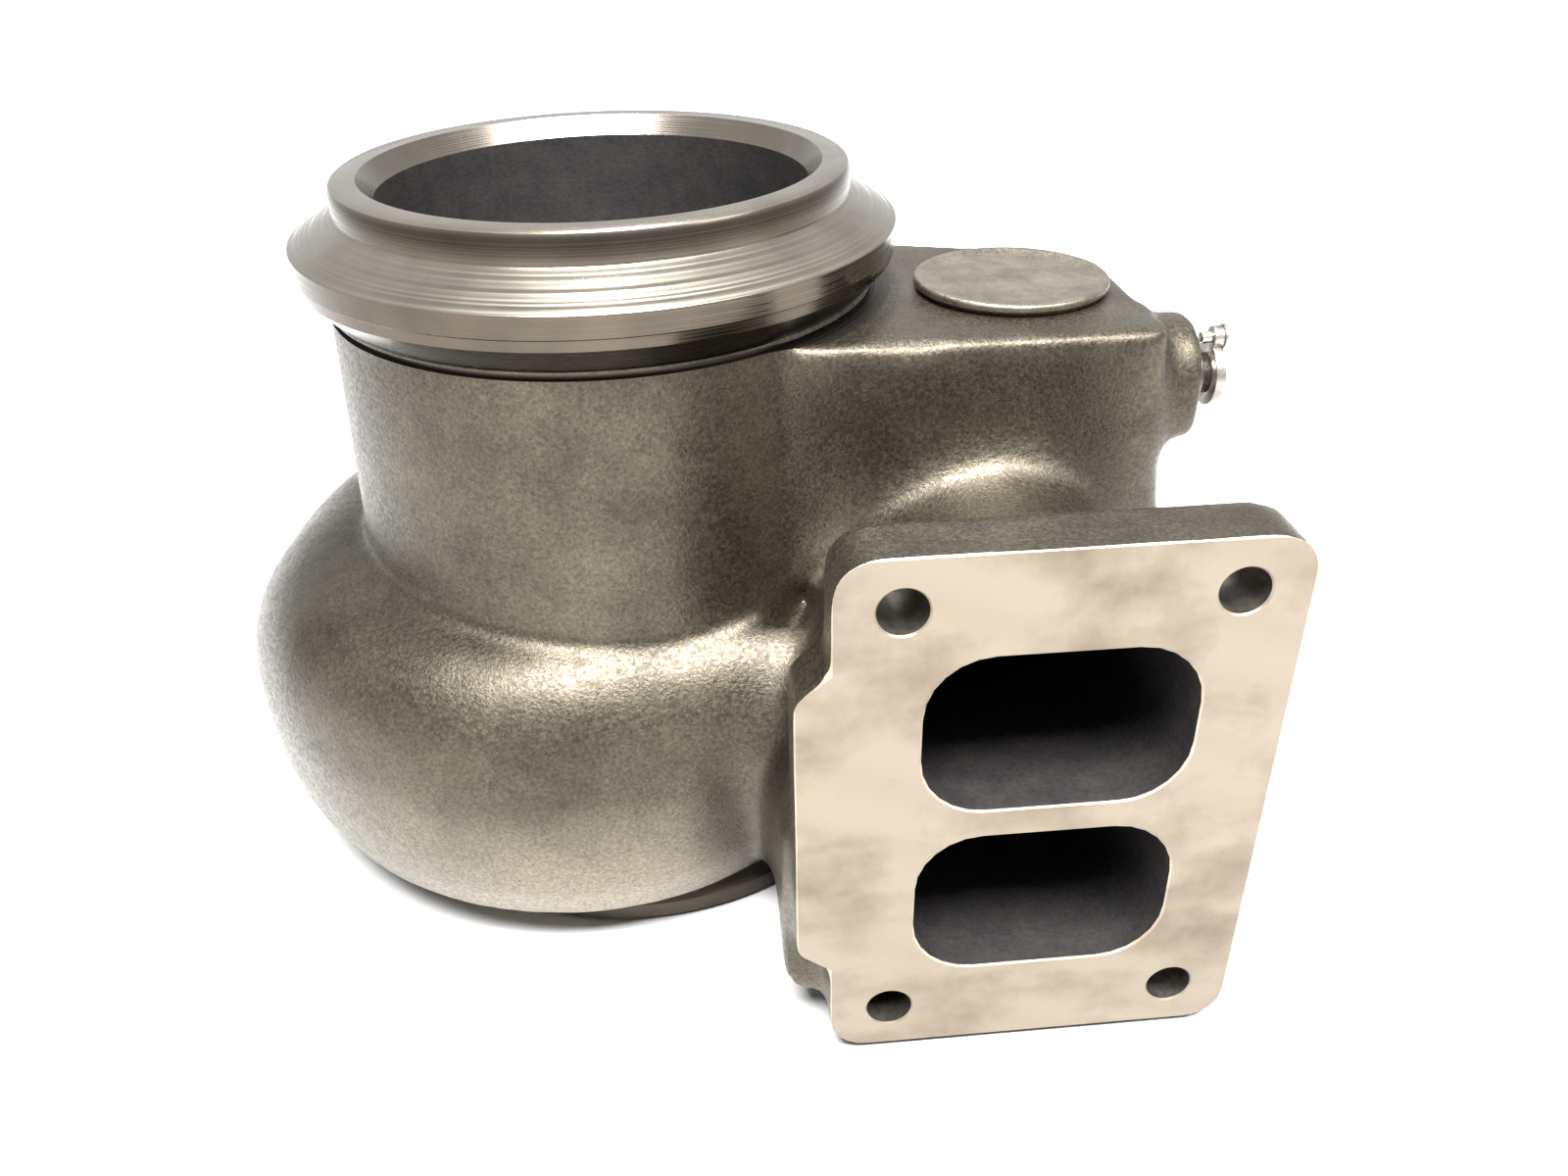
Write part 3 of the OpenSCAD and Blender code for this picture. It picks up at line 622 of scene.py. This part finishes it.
def makeBlank():
    lowR, topR, step = outlet["bodyLowD"] / 2, outlet["bodyTopD"] / 2, casting["coreStep"]
    core = revolve("coreBlank", [(0, casting["coreFoot"]), (bearing["neckR"], casting["coreFoot"]),
                                 (bearing["neckR"], step), (lowR, step), (lowR, casting["bodyFrom"]),
                                 (topR, casting["bodyTo"]), (topR, casting["coreTop"]),
                                 (0, casting["coreTop"])], skinIron)
    blank = joinAll("housingCasting", [makeScroll(), core, makeChamberBlank(), makeFlangeBlank()]
                    + makeBossBlank())
    remesh = blank.modifiers.new("remesh", "REMESH")
    remesh.mode = "VOXEL"
    remesh.voxel_size = casting["voxel"] * mm
    soften = blank.modifiers.new("soften", "SMOOTH")
    soften.factor = 0.5
    soften.iterations = casting["smoothing"]
    applyModifiers(blank)
    for a, b, reach, passes in castFillets:
        softenNear(blank, Vector(a) * mm, Vector(b) * mm, reach * mm, passes)
    return runTree(blank, skinTree, {"Lump Size": casting["unevenSize"] * mm,
                                     "Depth": casting["unevenDepth"] * mm, "Seed": casting["unevenSeed"],
                                     "Material": skinIron})


# Tools that machine the casting, each with the finish that it leaves

def makeOutletRing():
    spigotR, clampR, top = outlet["spigotD"] / 2, outlet["clampD"] / 2, outlet["top"]
    coneTop = top - outlet["spigotH"]
    rimTop = coneTop - outlet["coneH"]
    rimLow = rimTop - outlet["rimH"]
    groove = rimLow - outlet["underH"]
    bodyR = outlet["bodyTopD"] / 2
    return revolve("outletRing", [
        (0, groove - 3), (bodyR - 1.6, groove - 3), (bodyR - 1.6, groove + 0.3), (bodyR, groove + 0.6),
        (clampR - 0.6, rimLow - 0.4), (clampR - 0.25, rimLow + 2.2), (clampR, rimLow + 2.5),
        (clampR, rimTop - 0.25), (clampR - 0.25, rimTop), (spigotR + 0.6, coneTop - 0.2),
        (spigotR, coneTop + 0.4), (spigotR, top - 1.6), (spigotR - 0.6, top - 0.5), (spigotR - 1.5, top),
        (0, top)], turnedRing, 256)


def makeBearingRing():
    r, coneTop = bearing["clampD"] / 2, bearing["clampH"] + bearing["coneH"]
    return revolve("bearingRing", [(0, 0), (r - 1.5, 0), (r, 1.5), (r, bearing["clampH"]),
                                   (bearing["neckR"] + 0.4, coneTop), (0, coneTop)], shadedTurnedIron, 256)


def makeMouth():
    boreR, top = outlet["boreD"] / 2, outlet["top"]
    return revolve("mouth", [(0, top - outlet["mouthDepth"]), (boreR, top - outlet["mouthDepth"]),
                             (boreR + outlet["mouthChamfer"], top), (boreR + outlet["mouthChamfer"], top + 4),
                             (0, top + 4)], turnedRing, 256)


def makeGroove():  # undercut below the clamp ring
    groove = outlet["top"] - outlet["spigotH"] - outlet["coneH"] - outlet["rimH"] - outlet["underH"]
    r = outlet["bodyTopD"] / 2
    return revolve("groove", [(r - 1.5, groove - 1.5), (r + 6, groove - 1.5), (r + 6, groove - 0.1),
                              (r - 1.5, groove + 0.2)], shadedTurnedIron, 256)


def makeBore():
    contour = [(wheel["outletR"] + (wheel["inletR"] - wheel["outletR"]) * (1 - math.sin(t)),
                wheel["top"] - (wheel["top"] - wheel["nozzleHigh"]) * math.cos(t))
               for t in (math.radians(90) * i / 8 for i in range(9))]
    boreR = outlet["boreD"] / 2
    return revolve("bore", [(0, 2), (wheel["inletR"], 2)] + contour
                   + [(boreR, wheel["diffuser"]), (boreR, outlet["top"] + 1), (0, outlet["top"] + 1)],
                   gasSideIron, 192)


def makePilot():
    r = bearing["pilotD"] / 2
    return revolve("pilot", [(0, -1), (r, -1), (r, bearing["pilotDepth"]), (0, bearing["pilotDepth"])],
                   turnedRing)


def dividerHeight(angle):
    return mix(inlet["z"], wheel["dividerLow"], angle / 270)


def tipRadius(angle):
    return mix(wheel["tipStart"], wheel["tipR"], min(1, angle / wheel["tipAngle"]))


def upperCorners(angle):
    r, roof = outerRadius(angle) - casting["wall"], shoulderHeight(angle) - casting["wall"] - 2
    return [(tipRadius(angle), wheel["nozzleFloor"]), (r, dividerHeight(angle) + inlet["divider"] / 2),
            (r - 1.5, mix(wallHeight(angle), roof, 0.5)),
            (mix(casting["creaseR"] - 4, outerRadius(angle), 0.62), roof), (casting["creaseR"] - 2, roof),
            (wheel["throatR"], wheel["nozzleRoof"] + 10.5), (tipRadius(angle), wheel["nozzleRoof"])]


def lowerCorners(angle):
    r, floor = outerRadius(angle) - casting["wall"], casting["scrollLow"] + casting["wall"]
    top, tip, low = dividerHeight(angle) - inlet["divider"] / 2, tipRadius(angle), wheel["nozzleLow"]
    return [(tip, low), (r - casting["scrollTuck"], floor), (r, mix(floor, top, 0.5)), (r, top),
            (tip, low + 4.5), (tip, low + 3), (tip, low + 1.5)]


def wallInside(z, t):  # the least X that leaves the neck's left wall its thickness at a height
    side = (casting["sideZ"], mix(casting["neckLeft"], casting["coreR"] - 12, t))
    return casting["neckWall"] + lookUp(z, [side] + neckSide)


# A passage bulges by bellyX towards -X on its way through the neck, and its corners end up with cornerR
passage = dict(bellyX=90, cornerR=7, neckSteps=10, turnSteps=48, endShort=3)


def makePassage(name, portZ, corners):
    halfW, halfH, neckL = inlet["portWidth"] / 2, inlet["portHeight"] / 2, inlet["y"] - inlet["thick"]
    x0, x1, z0, z1 = inlet["x"] - halfW, inlet["x"] + halfW, portZ - halfH, portZ + halfH
    port = [Vector(c) for c in ((x0, z0), (x1, z0), (x1, portZ), (x1, z1), (x0, z1), (x0, portZ + 1),
                                (x0, portZ - 1))]
    portRadii = [inlet["portCorner"]] * 2 + [1] + [inlet["portCorner"]] * 2 + [1, 1]
    start = [Vector(c) for c in corners(0)]
    rings = [flatRing(roundOff(port, portRadii, 6), -inlet["y"] - 6),
             flatRing(roundOff(port, portRadii, 6), -inlet["y"] + 3)]
    steps, endR = passage["neckSteps"], passage["cornerR"]
    for t in (i / steps for i in range(1, steps)):
        belly = Vector((passage["bellyX"] * t * (1 - t) ** 3, 0))
        ring = [port[i].lerp(start[i], smooth(t)) - (belly if i in (0, 4, 5, 6) else Vector((0, 0)))
                for i in range(len(port))]
        ring = [Vector((max(p.x, wallInside(p.y, t)), p.y)) for p in ring]
        rings.append(flatRing(roundOff(ring, [mix(r, endR, t) for r in portRadii], 6), -neckL * (1 - t)))
    last, turns = casting["scrollEnd"] - passage["endShort"], passage["turnSteps"]
    for a in (last * i / turns for i in range(turns + 1)):
        rings.append(flatRing(roundOff([Vector(c) for c in corners(a)], [endR] * len(port), 6), a))
    return bend(loft(name, rings, gasSideIron), gasSideIron)


def makeStudTools(name, profile, material):
    tool = revolve(name, profile, material, 64, Matrix.Rotation(math.radians(-90), 4, "X"))
    middle = Vector((inlet["x"], -inlet["y"], inlet["z"])) * mm
    return runTree(tool, studTree, {"Across": inlet["studAcross"] * mm, "Up": inlet["studUp"] * mm,
                                    "Middle": middle, "Material": material})


def makeStudHoles():
    r, lip, through = inlet["studD"] / 2, inlet["lip"], inlet["thick"] + 6
    return [makeStudTools("studLips", [(0, -1), (r + lip + 1, -1), (r, lip), (0, lip)], milledFace),
            makeStudTools("studHoles", [(0, -2), (r, -2), (r, through), (0, through)], drilledIron)]


def makeFaceChamfer():
    rings = []
    for inset, past in ((inlet["chamfer"] + 0.5, 0.5), (-3, 0.5), (-3, -3 - inlet["chamfer"])):
        rings.append([(p.x, -inlet["y"] - past, p.y) for p in flangeOutline(inset)])
    return loft("faceChamfer", rings, milledEdge, looped=True)


def makePortLip(portZ):
    rings = []
    for grow, past in ((inlet["lip"] + 1, 1), (0, -inlet["lip"])):
        halfW, halfH = inlet["portWidth"] / 2 + grow, inlet["portHeight"] / 2 + grow
        corners = [Vector((inlet["x"] + a * halfW, portZ + b * halfH))
                   for a, b in ((-1, -1), (1, -1), (1, 1), (-1, 1))]
        ring = roundOff(corners, [inlet["portCorner"] + grow] * 4, 12)
        rings.append([(p.x, -inlet["y"] - past, p.y) for p in ring])
    return loft("portLip", rings, milledEdge)


def placeAt(x, y):
    return Matrix.Translation(Vector((x, y, 0)) * mm)


def makeCavity():
    ceiling = chamber["top"] - chamber["wall"]
    outline = chamberOutline(chamber["inX"], chamber["wall"], chamber["roomFrontR"],
                             chamber["backR"] - chamber["wall"])
    room = loft("chamberRoom", [[(p.x, p.y, z) for p in outline] for z in (ceiling, chamber["seatZ"])],
                gasSideIron)
    window = block("chamberWindow",
                   (chamber["windowX"], chamber["valveY"] - chamber["windowW"] / 2 - 3, chamber["seatZ"] + 1),
                   (chamber["inX"] + 2, chamber["valveY"] + chamber["windowW"] / 2 - 3,
                    chamber["seatZ"] + 1 + chamber["windowH"]), gasSideIron)
    port = revolve("bypassPort", [(0, chamber["seatZ"] - chamber["seatDepth"]),
                                  (chamber["bypassD"] / 2, chamber["seatZ"] - chamber["seatDepth"]),
                                  (chamber["bypassD"] / 2, chamber["seatZ"] + 1), (0, chamber["seatZ"] + 1)],
                   gasSideIron, 64, placeAt(chamber["valveX"], chamber["valveY"]))
    hole = revolve("accessHole", [(0, ceiling - 1), (chamber["accessD"] / 2, ceiling - 1),
                                  (chamber["accessD"] / 2, chamber["top"] + 2), (0, chamber["top"] + 2)],
                   gasSideIron, 96, placeAt(chamber["plugX"], chamber["plugY"]))
    return [room, window, port, hole]


def makeBossFace():
    x, reach = chamber["x"] + boss["length"], boss["faceReach"]
    return block("bossFace", (x, boss["y"] - reach, boss["faceLow"]),
                 (x + 12, boss["y"] + reach, boss["z"] + reach), turnedRing)


def makeShaftBore():
    length = chamber["wall"] + boss["length"] + 4
    return revolve("shaftBore", [(0, 0), (boss["boreD"] / 2, 0), (boss["boreD"] / 2, length), (0, length)],
                   turnedRing, 64, acrossX(chamber["x"] - chamber["wall"] - 1, boss["y"], boss["z"]))


housing = makeBlank()
print("stage: casting blank made,", len(housing.data.polygons), "faces")
machine(housing, block("faceMill", (0, -inlet["y"] - 20, -20), (200, -inlet["y"], 180), milledFace))
for ring in (makeOutletRing(), makeBearingRing()):
    machine(housing, ring, "UNION")
portLift = (inlet["portHeight"] + inlet["divider"]) / 2
cutters = [makeGroove(), makeMouth(), makeFaceChamfer(), makePortLip(inlet["z"] + portLift),
           makePortLip(inlet["z"] - portLift),
           makePassage("upperPassage", inlet["z"] + portLift, upperCorners),
           makePassage("lowerPassage", inlet["z"] - portLift, lowerCorners), makePilot(), makeBore(),
           makeBossFace(), makeShaftBore()] + makeStudHoles() + makeCavity()
for cutter in cutters:
    machine(housing, cutter)
print("stage: casting machined,", len(housing.data.polygons), "faces")


sharpAngle = 32  # degrees, past which an edge is shaded sharp


def finishPiece(obj, nodes, body):
    obj.data.shade_smooth()
    obj.data.set_sharp_from_angle(angle=math.radians(sharpAngle))
    obj.data.validate()
    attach(obj, body)
    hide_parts(*nodes)


finishPiece(housing, ["turbine_housing"], "housing")

# Access plug: pressed into the chamber's roof, with a rounded bright rim and a crevice under it
plug = dict(headH=3.1, rimR=0.9, crevice=0.9, sink=0.7)


def makePlug():
    ceiling, top, r = chamber["top"] - chamber["wall"], chamber["top"], chamber["plugD"] / 2
    high = top + plug["headH"]
    arc = [(r - plug["rimR"] + plug["rimR"] * math.cos(t), high - plug["rimR"] + plug["rimR"] * math.sin(t))
           for t in (math.radians(90) * i / 6 for i in range(7))]
    shank = chamber["accessD"] / 2 - 0.05
    profile = ([(0, ceiling), (shank - 0.4, ceiling), (shank, ceiling + 0.4), (shank, top), (r - 1.2, top),
                (r - 0.5, top + plug["crevice"]), (r, top + plug["crevice"] + 0.5)] + arc
               + [(r - 2.2, high - 0.1), (r - 3.4, high - plug["sink"]), (r * 0.5, high - plug["sink"] * 0.6),
                  (0, high - plug["sink"] * 0.5)])
    return revolve("accessPlug", profile, plugIron, 128, placeAt(chamber["plugX"], chamber["plugY"]))


finishPiece(makePlug(), ["access_plug"], "housing")


# Small steel pieces: copies of the CAD solids with their edges broken
smallPieces = {"shaft_bush": (bushSteel, "housing", "bush_steel", 0.5),
               "crank_shaft": (groundSteel, "bypass_valve", "shaft_steel", 0.3),
               "crank_arm": (valveSteel, "bypass_valve", "valve_steel", 0.8),
               "poppet_valve": (valveSteel, "bypass_valve", "valve_steel", 0.2),
               "valve_washer": (groundSteel, "bypass_valve", "shaft_steel", 0.2),
               "outer_lever": (leverSteel, "bypass_valve", "lever_steel", 0.35),
               "lever_pin": (pinSteel, "bypass_valve", "pin_steel", 0.15),
               "pin_clip": (leverSteel, "bypass_valve", "lever_steel", 0.15)}


def makeSmallPiece(node, material, width):
    bm = bmesh.new()
    bm.from_mesh(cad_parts[node].data)
    bmesh.ops.remove_doubles(bm, verts=bm.verts, dist=1e-6)
    bmesh.ops.dissolve_limit(bm, angle_limit=math.radians(0.5), verts=bm.verts, edges=bm.edges)
    words = node.split("_")
    name = words[0] + "".join(w.capitalize() for w in words[1:])
    piece = addObject(name, toMesh(node, bm), material)
    bevel = piece.modifiers.new("bevel", "BEVEL")
    bevel.width = width * mm
    bevel.segments = 3
    bevel.limit_method = "ANGLE"
    bevel.angle_limit = math.radians(40)
    return applyModifiers(piece)


for node, (material, body, slot, width) in smallPieces.items():
    finishPiece(makeSmallPiece(node, material, width), [node], body)
print("stage: small pieces made")


# Studio: white floor and sky, three area lamps from above and the camera

# The sky's strength is what it lights with; the floor glows white from one distance on to the next, in metres
studio = dict(floorSize=14, floorColour="#dededd", floorGap=0.0003, sky=0.12, glow=(0.3, 1.0))


def seenRays(tree):  # 1 for rays that show a thing, straight, mirrored or through glass, and 0 for light
    path = addNode(tree, "ShaderNodeLightPath").outputs
    seen = calc(tree, "MAXIMUM", path["Is Camera Ray"], path["Is Glossy Ray"])
    return calc(tree, "MAXIMUM", seen, path["Is Transmission Ray"])


def makeFloor():
    material = bpy.data.materials.new("whiteFloor")
    material.use_nodes = True
    tree = material.node_tree
    tree.nodes.clear()
    place = addNode(tree, "ShaderNodeTexCoord").outputs["Object"]
    away = addNode(tree, "ShaderNodeVectorMath", {0: place}, operation="LENGTH").outputs["Value"]
    glow = calc(tree, "MULTIPLY", seenRays(tree), mapRange(tree, away, *studio["glow"]))
    paper = addNode(tree, "ShaderNodeBsdfDiffuse", {"Color": linear(studio["floorColour"])})
    light = addNode(tree, "ShaderNodeEmission", {"Strength": glow})
    both = addNode(tree, "ShaderNodeAddShader", {0: paper.outputs[0], 1: light.outputs[0]})
    addNode(tree, "ShaderNodeOutputMaterial", {0: both.outputs[0]})
    bm = bmesh.new()
    bmesh.ops.create_grid(bm, x_segments=1, y_segments=1, size=studio["floorSize"] / 2)
    bmesh.ops.translate(bm, verts=bm.verts, vec=(0, 0, cadBounds[0].z - studio["floorGap"]))
    addObject("floor", toMesh("floor", bm), material)


def addLamp(name, place, aim, size, power):
    lamp = bpy.data.lights.new(name, "AREA")
    lamp.shape = "RECTANGLE"
    lamp.size, lamp.size_y = size
    lamp.energy = power
    obj = bpy.data.objects.new(name, lamp)
    obj.location = place
    obj.rotation_euler = (Vector(aim) - Vector(place)).to_track_quat("-Z", "Y").to_euler()
    bpy.context.scene.collection.objects.link(obj)


def makeWorld():
    world = bpy.data.worlds.new("studioSky")
    world.use_nodes = True
    bpy.context.scene.world = world
    tree = world.node_tree
    sky = tree.nodes["Background"]
    tree.links.new(mapRange(tree, seenRays(tree), 0.0, 1.0, studio["sky"], 1.0), sky.inputs["Strength"])
    sky.inputs["Color"].default_value = linear("#ffffff")


view = dict(place=(19.27, -335.504, 263.889), yaw=4.604, pitch=31.167, roll=-1.158, lens=29.362, sensor=36)


def makeCamera():
    yaw, pitch, roll = (math.radians(view[k]) for k in ("yaw", "pitch", "roll"))
    ahead = Vector((math.sin(yaw) * math.cos(pitch), math.cos(yaw) * math.cos(pitch), -math.sin(pitch)))
    side = Vector((math.cos(yaw), -math.sin(yaw), 0))
    above = side.cross(ahead)
    right = side * math.cos(roll) + above * math.sin(roll)
    up = above * math.cos(roll) - side * math.sin(roll)
    lens = bpy.data.cameras.new("camera")
    lens.lens = view["lens"]
    lens.sensor_width = view["sensor"]
    lens.clip_start = 0.01
    camera = bpy.data.objects.new("camera", lens)
    camera.matrix_world = Matrix.Translation(Vector(view["place"]) * mm) @ Matrix(
        (right, up, -ahead)).transposed().to_4x4()
    bpy.context.scene.collection.objects.link(camera)
    bpy.context.scene.camera = camera


makeFloor()
makeWorld()
makeCamera()
for lamp in (("keyLamp", (0.06, -0.6, 1.3), (0.02, -0.08, 0.1), (1.0, 0.5), 92),
             ("streakLamp", (0.02, 0.35, 1.3), (0, 0, 0.1), (0.16, 0.5), 20),
             ("fillLamp", (0.85, -0.5, 1.1), (0.05, 0, 0.08), (0.5, 0.8), 11)):
    addLamp(*lamp)
bpy.context.scene.view_settings.view_transform = "Standard"
print("stage: studio made")
